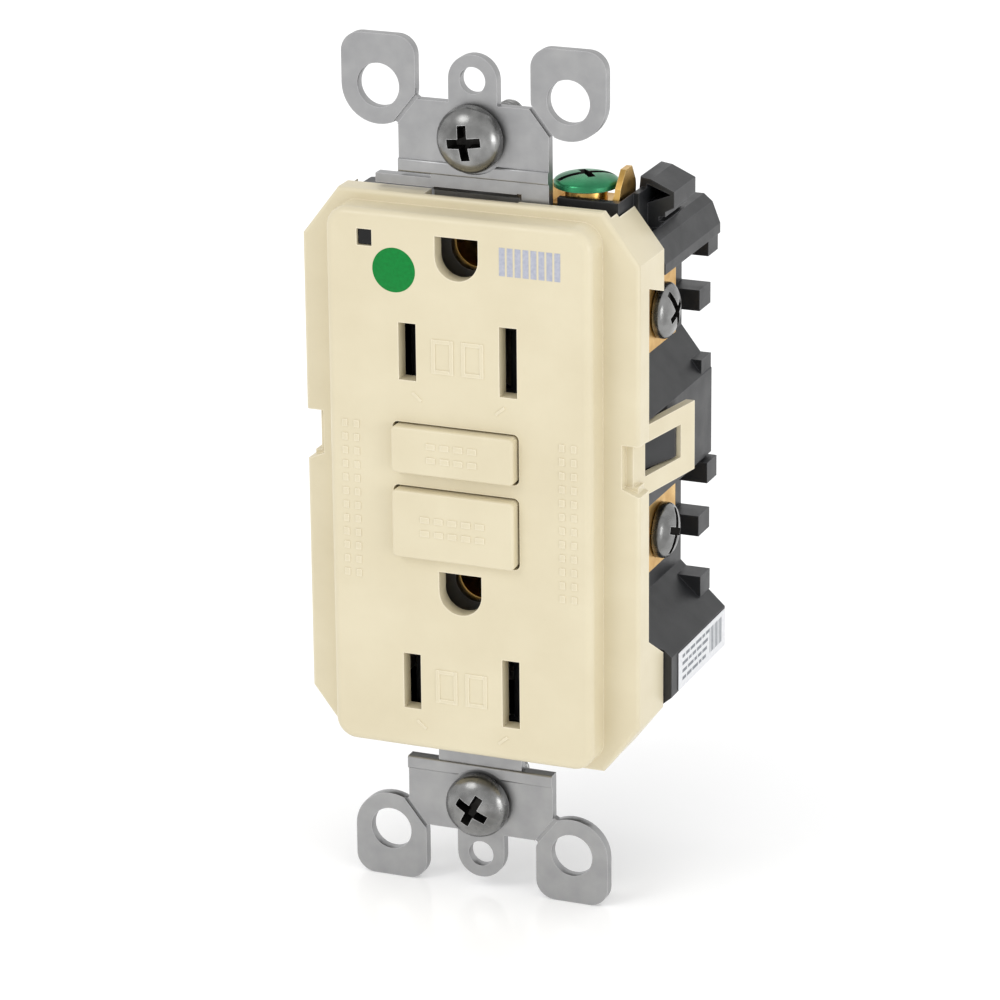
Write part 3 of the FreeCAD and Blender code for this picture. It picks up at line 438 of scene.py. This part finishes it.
def block(bm, centre, size, spin=0.0, axis="Y", edge=0.0):
    """A box of that size, turned by spin about axis, with bevelled edges."""
    made = bmesh.ops.create_cube(bm, size=1.0)["verts"]
    matrix = Matrix.Translation(centre) @ Matrix.Rotation(spin, 4, axis) @ Matrix.Diagonal((*size, 1))
    bmesh.ops.transform(bm, matrix=matrix, verts=made)
    if edge:
        edges = {e for v in made for e in v.link_edges}
        bmesh.ops.bevel(bm, geom=list(edges), offset=edge, segments=2, affect="EDGES", profile=0.5)


def cross_cutter(bm, top, span, width, depth):
    """Tapered Phillips wings that sink from just above top along -Z."""
    above = 0.2 * MM
    ends = ((top + above, span, width), (top - depth, 0.62 * span, 0.75 * width))
    for spin in (0, math.pi / 2):
        rings = []
        for level, reach, across in ends:
            ring = []
            for x, y in ((-1, -1), (1, -1), (1, 1), (-1, 1)):
                point = Vector((x * reach, y * across, level))
                point.rotate(Matrix.Rotation(spin, 3, "Z"))
                ring.append(bm.verts.new(point))
            rings.append(ring)
        bridge(bm, rings)
        bm.faces.new(rings[0][::-1])
        bm.faces.new(rings[1])


def cut(obj, cutter_maker, place):
    """Cuts cutter_maker's mesh out of obj and keeps the result as plain mesh; the cut faces take the dark
    recess colour, which is painted shade.
    """
    cutter = new_object("cutter", new_mesh("cutter", cutter_maker, place))
    cutter.data.materials.append(SHADED_RECESS)
    modifier = obj.modifiers.new("recess", "BOOLEAN")
    modifier.material_mode = "TRANSFER"
    modifier.object = cutter
    modifier.operation = "DIFFERENCE"
    modifier.solver = "EXACT"
    modifier.use_self = True
    bpy.context.view_layer.update()
    graph = bpy.context.evaluated_depsgraph_get()
    result = bpy.data.meshes.new_from_object(obj.evaluated_get(graph))
    obj.modifiers.clear()
    uncut = obj.data
    obj.data = result
    result.name = uncut.name
    bpy.data.meshes.remove(uncut)
    bpy.data.meshes.remove(cutter.data)      # the cutter goes with it
    shade(result)


# ---- screws ----
TERMINAL_X = 18.9 * MM        # underside of the terminal screws' heads
MOUNTING_Y = -1.75 * MM       # underside of the mounting screws' heads
POST_X, POST_Z = 16.9 * MM, 27.0 * MM      # centres of the assembly screws


def screw(name, node, place, spin, head, shank, span, slotted, material, body):
    """A threaded screw in place of a CAD node, with a Phillips recess and, if slotted, a slot too.

    place is its head's underside, head is (radius, thickness, crown), shank is (radius, length,
    neck radius, neck length), and span is the reach of the recess.
    """
    head_r, thick, crown = head
    shank_r, length, neck_r, neck = shank
    top = thick + crown
    root = SINK - neck            # where the thread starts

    def shape(bm):
        lathe(bm, [(0, 0), (0.96 * head_r, 0), (head_r, 0.08 * thick)] + dome(head_r, 0.45 * thick, top), 72)
        if neck:
            neck_end = -neck - 0.3 * MM
            lathe(bm, [(0, SINK), (neck_r, SINK), (neck_r, neck_end), (0, neck_end)], 48)
        threaded_shank(bm, shank_r, root, -length)

    def recess(bm):
        cross_cutter(bm, top, span, 0.25 * span, 0.62 * top)
        if slotted:
            block(bm, (0, 0, top), (2.4 * head_r, 0.85 * MM, 1.3 * MM))

    place = place @ Matrix.Rotation(spin, 4, "Z")
    obj = piece(name, shape, material, body, place)
    cut(obj, recess, place)
    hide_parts(node)


def at(node, x=None, y=None, z=None):
    """The centre of a node's box, with any coordinate replaced."""
    point = middle(node)
    for i, value in enumerate((x, y, z)):
        if value is not None:
            point[i] = value
    return Matrix.Translation(point)


def mounting_screw(end, spin):
    """One of the two screws that hold the strap to the wall box; its neck passes the retaining washer."""
    node = end + "_device_screw"
    head = (4.0 * MM, 1.5 * MM, 1.3 * MM)
    shank = (1.72 * MM, high(node).y - MOUNTING_Y, 1.4 * MM, 1.85 * MM)
    place = at(node, y=MOUNTING_Y) @ TO_ROOM
    screw(end + "_mounting_screw", node, place, spin, head, shank, 2.35 * MM, False, SCREW,
          end + "_screw_body")


def terminal_screw(role, pole, side, turn, spin, material):
    """A side screw: nickel plated on the neutral side, brass on the hot side."""
    node = f"{role}_{pole}_screw"
    tip = low(node).x if side > 0 else -high(node).x
    head = (3.4 * MM, 1.5 * MM, 0.6 * MM)
    shank = (2.05 * MM, TERMINAL_X - tip, 0, 0)
    place = at(node, x=side * TERMINAL_X) @ turn
    screw(f"{role}_{pole}_terminal_screw", node, place, spin, head, shank, 2.0 * MM, True, material,
          f"{role}_{pole}_screw_body")


def assembly_screw(x, z):
    """One of the four screws that hold the housing to the cover."""
    under = BACK_Y - 1.5 * MM     # the heads lie in recesses of the housing
    name = f"assembly_screw_{'right' if x > 0 else 'left'}_{'top' if z > 0 else 'bottom'}"
    spin = x * 90 + z * 31        # another turn for each screw, in radians
    head = (2.0 * MM, 0.9 * MM, 0.5 * MM)
    shank = (1.28 * MM, under - low("assembly_screws").y, 0, 0)
    place = Matrix.Translation((x, under, z)) @ TO_WALL
    screw(name, "assembly_screws", place, spin, head, shank, 1.2 * MM, False, SCREW, "device")


def ground_screw():
    """The green screw at the top."""
    node = "ground_screw"
    under = high(node).z - 1.6 * MM
    head = (3.85 * MM, 1.2 * MM, 0.4 * MM)
    shank = (2.05 * MM, under - low(node).z, 0, 0)
    place = at(node, z=under)
    screw("green_ground_screw", node, place, 0.75, head, shank, 2.0 * MM, True, GREEN,
          "ground_screw_body")


mounting_screw("upper", 0.12)
mounting_screw("lower", -0.5)
for role, role_spin in (("line", 0.5), ("load", -0.35)):
    terminal_screw(role, "neutral", 1, TO_RIGHT, role_spin, SCREW)
    terminal_screw(role, "hot", -1, TO_LEFT, role_spin, BRASS)
for post_x in (-POST_X, POST_X):
    for post_z in (-POST_Z, POST_Z):
        assembly_screw(post_x, post_z)
ground_screw()


# ---- marks on the face, label and back ----
# middles, in mm
BUTTON_X = -0.4
TEST_Z = 4.8
RESET_Z = -4.4
UPPER_SLOTS_Z = 16.4
LOWER_SLOTS_Z = -24.9


def bars(name, rows, material, body, surface_y, height, edge=0.0):
    """Flat bars that stand height above an ivory surface facing the room.

    rows are (x, z, width, tall, spin), with the lengths in mm.
    """
    def shape(bm):
        for x, z, width, tall, spin in rows:
            centre = (x * MM, surface_y + (SINK - height) / 2, z * MM)
            block(bm, centre, (width * MM, height + SINK, tall * MM), spin, "Y", edge)
    piece(name, shape, material, body)


def raised(name, rows, body, surface_y):
    """Bars moulded in one with an ivory surface."""
    bars(name, rows, IVORY, body, surface_y, RELIEF, RELIEF_EDGE)


def green_spot():
    """A round spot of green ink with a soft rim."""
    radius = 2.7 * MM

    def shape(bm):
        lathe(bm, [(0, -SINK / 2), (radius, -SINK / 2), (radius, INK / 2), (radius - INK, INK), (0, INK)], 72)
    place = Matrix.Translation((-7.9 * MM, FACE_Y, 26.4 * MM)) @ TO_ROOM
    piece("green_spot", shape, GREEN_INK, "device", place)


def slot_marks(z):
    """Two raised frames between a pair of blade slots, and a tick under each slot."""
    frame_x, line = 1.9, 0.5
    side_x, side_tall = 1.15, 4.2
    rail_z, rail_wide = 1.85, 1.8
    rows = []
    for x in (-frame_x, frame_x):
        rows += [(x - side_x, z, line, side_tall, 0), (x + side_x, z, line, side_tall, 0)]
        rows += [(x, z + rail_z, rail_wide, line, 0), (x, z - rail_z, rail_wide, line, 0)]
    tick_wide, tick_tall, tilt = 1.5, 0.35, 0.7
    return rows + [(-5.2, z - 5.2, tick_wide, tick_tall, tilt), (5.3, z - 5.8, tick_wide, tick_tall, -tilt)]


def side_marks():
    """Two columns of raised dashes down each side of the face."""
    inner_x, column_step = 13.0, 1.5
    top_z, row_step = 7.0, 1.7
    rows = []
    for side in (-1, 1):
        for column in range(2):
            for i in range(12):
                rows.append((side * (inner_x + column_step * column), top_z - row_step * i, 0.7, 0.9, 0))
    return rows


def button_marks(z, dashes):
    """Two lines of evenly spaced raised dashes on a button."""
    dash_step, line_step = 1.75, 1.7
    rows = []
    for line in (0.5, -0.5):
        for i in range(dashes):
            across = (i - (dashes - 1) / 2) * dash_step
            rows.append((BUTTON_X + across, z + line_step * line, 1.15, 0.75, 0))
    return rows


def printed_hatch():
    """A row of printed grey bars beside the upper ground hole."""
    left_x, step, z = 5.7, 0.98, 28.75
    rows = [(left_x + step * i, z, 0.72, 3.4, 0) for i in range(8)]
    bars("printed_hatch", rows, GREY_INK, "device", FACE_Y, INK)


def label_print():
    """Rows of plain grey dashes and a hatch printed on the side label."""
    margin = 1.2 * MM
    surface = high("side_label").x
    front, back = low("side_label").y + margin, high("side_label").y - margin
    top = high("side_label").z
    hatch_width = 5.5 * MM
    gap = 0.35 * MM
    first_line, line_step = 0.8, 0.95      # below the label's top, in mm

    def shape(bm):
        for row in range(4):
            z = top - (first_line + line_step * row) * MM
            y = front
            step = 0
            while y < back - hatch_width:
                width = (0.9 + 0.35 * ((row * 3 + step * 5) % 4)) * MM
                block(bm, (surface, y + width / 2, z), (INK, width, 0.42 * MM))
                y += width + gap
                step += 1
        for i in range(9):
            centre = (surface, back - (4.4 - 0.5 * i) * MM, top - 2.2 * MM)
            block(bm, centre, (INK, (0.16 + 0.1 * (i % 3)) * MM, 3.2 * MM))
    piece("label_print", shape, LABEL_INK, "device")


def ejector_rings():
    """The round prints that a mould's ejector pins leave on the back of the rear housing."""
    wide, deep, proud = 0.25, 0.02, 0.1      # in mm

    def shape(bm):
        for x, z, radius in ((-10, 20, 2.2), (10, 20, 2.2), (-10, -6, 2.2), (10, -6, 2.2), (0, -22, 2.8)):
            inner = radius - wide
            profile = [(inner, -deep), (inner, proud), (radius, proud), (radius, -deep), (inner, -deep)]
            start = len(bm.verts)
            lathe(bm, [(r * MM, h * MM) for r, h in profile], 48)
            bm.verts.ensure_lookup_table()
            place = Matrix.Translation((x * MM, BACK_Y, z * MM)) @ TO_WALL
            bmesh.ops.transform(bm, matrix=place, verts=bm.verts[start:])
    piece("ejector_rings", shape, BLACK, "device")


def strip_gauge():
    """The outline of a strip-length gauge and rows of dashes, raised on the back of the rear housing."""
    outline = [(0, 8.0, 12.0, 0.4), (0, 3.0, 12.0, 0.4), (-6, 5.5, 0.4, 5.4), (6, 5.5, 0.4, 5.4)]
    dashes = [(1.9 * i, -11.5 - 1.5 * row, 1.3, 0.6) for row in range(3) for i in range(-4, 5)]

    def shape(bm):
        for x, z, width, tall in outline + dashes:
            centre = (x * MM, BACK_Y, z * MM)
            block(bm, centre, (width * MM, 2 * RELIEF, tall * MM), edge=RELIEF_EDGE)
    piece("strip_gauge", shape, BLACK, "device")


green_spot()
printed_hatch()
face_rows = slot_marks(UPPER_SLOTS_Z) + slot_marks(LOWER_SLOTS_Z) + side_marks()
raised("face_relief", face_rows, "device", FACE_Y)
raised("test_relief", button_marks(TEST_Z, 4), "test_button_body", BUTTON_Y)
raised("reset_relief", button_marks(RESET_Z, 5), "reset_button_body", BUTTON_Y)
label_print()
ejector_rings()
strip_gauge()


# ---- windings and serrations ----
def wound_ring(node, name):
    """A sensing coil: turns of enamelled wire laid closely round a ring core."""
    centre, outer = middle(node), half_width(node)
    inner, half = outer - 4.0 * MM, (high(node).y - low(node).y) / 2
    mean, reach = (outer + inner) / 2, (outer - inner) / 2
    turns, steps = 84, 12
    groove = 0.22 * MM            # depth of the dip between two turns
    dips = (1.0, 0.6, 0.0, 0.6)   # share of the groove at each step through a turn
    count = turns * len(dips)

    def shape(bm):
        rings = []
        for k in range(count):
            dip = dips[k % len(dips)] * groove
            angle = 2 * math.pi * k / count
            ring = []
            for i in range(steps):
                a = 2 * math.pi * i / steps
                lobe = (abs(math.cos(a)) ** 4 + abs(math.sin(a)) ** 4) ** -0.25
                across = mean + (reach - dip) * lobe * math.cos(a)
                along = (half - dip) * lobe * math.sin(a)
                ring.append(bm.verts.new((across * math.cos(angle), across * math.sin(angle), along)))
            rings.append(ring)
        bridge(bm, rings + rings[:1])
    obj = piece(name, shape, COPPER, "device", Matrix.Translation(centre) @ TO_ROOM)
    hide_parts(node)


def solenoid_winding():
    """Fine enamelled wire wound in close turns on the solenoid's bobbin."""
    node = "solenoid_coil"
    start, end = low(node).z, high(node).z
    outer, inner = half_width(node), 1.9 * MM
    wire, groove = 0.28 * MM, 0.1 * MM
    count = int((end - start) / wire)

    def shape(bm):
        profile = [(inner, start)]
        for i in range(count):
            z = start + (end - start) * i / count
            profile += [(outer - groove, z), (outer, z + wire / 2)]
        profile += [(outer - groove, end), (inner, end), (inner, start)]
        lathe(bm, profile, 48)
    place = Matrix.Translation((middle(node).x, middle(node).y, 0))
    obj = piece("solenoid_winding", shape, COPPER, "device", place)
    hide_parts(node)


def clamp_serrations(role, pole, side):
    """Small ridges on the gripping side of a wire clamp, in front of its screw and behind it."""
    axis = middle(f"{role}_{pole}_screw")
    grip = side * 18.1 * MM       # the clamp's gripping face
    ridge, spacing = 0.24 * MM, 0.8 * MM
    rows = ((-3.05 * MM, 0.9 * MM), (3.9 * MM, 2.2 * MM))      # place and length along Y

    def shape(bm):
        for i in range(-4, 5):
            for across, length in rows:
                centre = (grip, axis.y + across, axis.z + i * spacing)
                block(bm, centre, (ridge, length, ridge), math.pi / 4, "Y")
    piece(f"{role}_{pole}_serrations", shape, BRASS, f"{role}_{pole}_clamp_body")


# ---- springs ----
def coil(bm, radius, wire, length, turns, sides=10):
    """A compression spring along +Z from 0 to length, with one close turn at each end.

    wire is the wire's radius, and turns counts the open turns.
    """
    steps_per_turn = 28
    pitch = 2 * wire              # of a close turn
    rise = (length - 3 * pitch) / turns
    rings = []
    for k in range(int((turns + 2) * steps_per_turn) + 1):
        turn = k / steps_per_turn
        open_turns = min(max(turn - 1, 0), turns)
        close_turns = min(turn, 1) + max(turn - 1 - turns, 0)
        angle = 2 * math.pi * turn
        outward = Vector((math.cos(angle), math.sin(angle), 0))
        height = wire + close_turns * pitch + open_turns * rise
        centre = outward * radius + Vector((0, 0, height))
        ring = []
        for i in range(sides):
            a = 2 * math.pi * i / sides
            around = outward * wire * math.cos(a) + Vector((0, 0, wire * math.sin(a)))
            ring.append(bm.verts.new(centre + around))
        rings.append(ring)
    bridge(bm, rings)
    bm.faces.new(rings[0][::-1])
    bm.faces.new(rings[-1])


def spring(node, axis, wire, turns):
    """A spring that stretches between a body at its low end and the device at its high end, along axis."""
    fixed, moving = middle(node), middle(node)
    fixed[axis], moving[axis] = high(node)[axis], low(node)[axis]
    across = (axis + 1) % 3
    radius = (high(node)[across] - low(node)[across]) / 2 - wire
    turn = (TO_RIGHT, TO_WALL, UPRIGHT)[axis]

    def shape(bm):
        coil(bm, radius, wire, fixed[axis] - moving[axis], turns)
    obj = piece(node + "_coil", shape, SPRING, None, Matrix.Translation(moving) @ turn)
    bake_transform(obj)
    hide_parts(node)


wound_ring("fault_sensing_coil", "fault_coil_winding")
wound_ring("neutral_sensing_coil", "neutral_coil_winding")
solenoid_winding()
for role in ("line", "load"):
    clamp_serrations(role, "neutral", 1)
    clamp_serrations(role, "hot", -1)
spring("test_return_spring", 1, 0.17 * MM, 4)
spring("reset_spring", 1, 0.20 * MM, 3.5)
spring("upper_shutter_spring", 0, 0.12 * MM, 7)
spring("lower_shutter_spring", 0, 0.12 * MM, 7)
spring("plunger_spring", 2, 0.13 * MM, 2.5)


# ---- camera, floor and light ----
def look(location, target, roll):
    """A rotation that points -Z from location at target."""
    forward = (target - location).normalized()
    side = forward.cross(Vector((0, 0, 1))).normalized()
    up = side.cross(forward)
    right = side * math.cos(roll) + up * math.sin(roll)
    top = up * math.cos(roll) - side * math.sin(roll)
    return Matrix((right, top, -forward)).transposed().to_4x4()


def add_camera():
    """The camera at the photograph's view: from the right and above, rolled a little."""
    target = Vector((3.16, -1.84, -2.2)) * MM
    distance = 563.2 * MM
    yaw, elevation, roll = math.radians(22.18), math.radians(19.25), math.radians(-0.56)
    level = math.cos(elevation)
    away = Vector((math.sin(yaw) * level, -math.cos(yaw) * level, math.sin(elevation)))
    data = bpy.data.cameras.new("camera")
    data.lens = 171.3
    data.sensor_width = 36
    data.clip_start = 0.01
    camera = new_object("camera", data)
    place = target + distance * away
    camera.matrix_world = Matrix.Translation(place) @ look(place, target, roll)
    bpy.context.scene.camera = camera


def add_floor():
    """A pale floor just under the device, which glows a little so that it looks white."""
    radius = 3.0
    level = cad_bounds[0][2] - 0.05 * MM

    def shape(bm):
        lathe(bm, [(0, level), (radius, level)], 48)
    s = Shader("studio floor", rough=0.16, IOR=1.35, Emission_Strength=0.18)
    s.bsdf.inputs["Emission Color"].default_value = (1, 1, 1, 1)
    s.colour(s.mix(s.grey(s.noise(0.3, 2), 0, 1), linear(250, 250, 250), linear(247, 247, 247)))
    floor = new_object("floor", new_mesh("floor", shape, UPRIGHT))
    floor.data.materials.append(s.material)


def add_light(name, place, size, power):
    """A round lamp of that size in metres and power in watts, aimed at the origin."""
    data = bpy.data.lights.new(name, "AREA")
    data.shape = "DISK"
    data.size = size
    data.energy = power
    place = Vector(place)
    light = new_object(name, data)
    light.matrix_world = Matrix.Translation(place) @ look(place, Vector((0, 0, 0)), 0)


def add_studio():
    """A white surrounding light, a key lamp at the upper left and a weak lamp low on the right."""
    world = bpy.data.worlds.new("studio")
    world.use_nodes = True
    background = world.node_tree.nodes["Background"]
    background.inputs["Color"].default_value = (1, 1, 1, 1)
    background.inputs["Strength"].default_value = 0.95
    bpy.context.scene.world = world
    add_light("key", (-0.6, -0.9, 0.9), 0.6, 3.2)
    add_light("low_fill", (0.8, -0.35, 0.02), 0.4, 1.8)
    bpy.context.scene.view_settings.view_transform = "Standard"


add_camera()
add_floor()
add_studio()
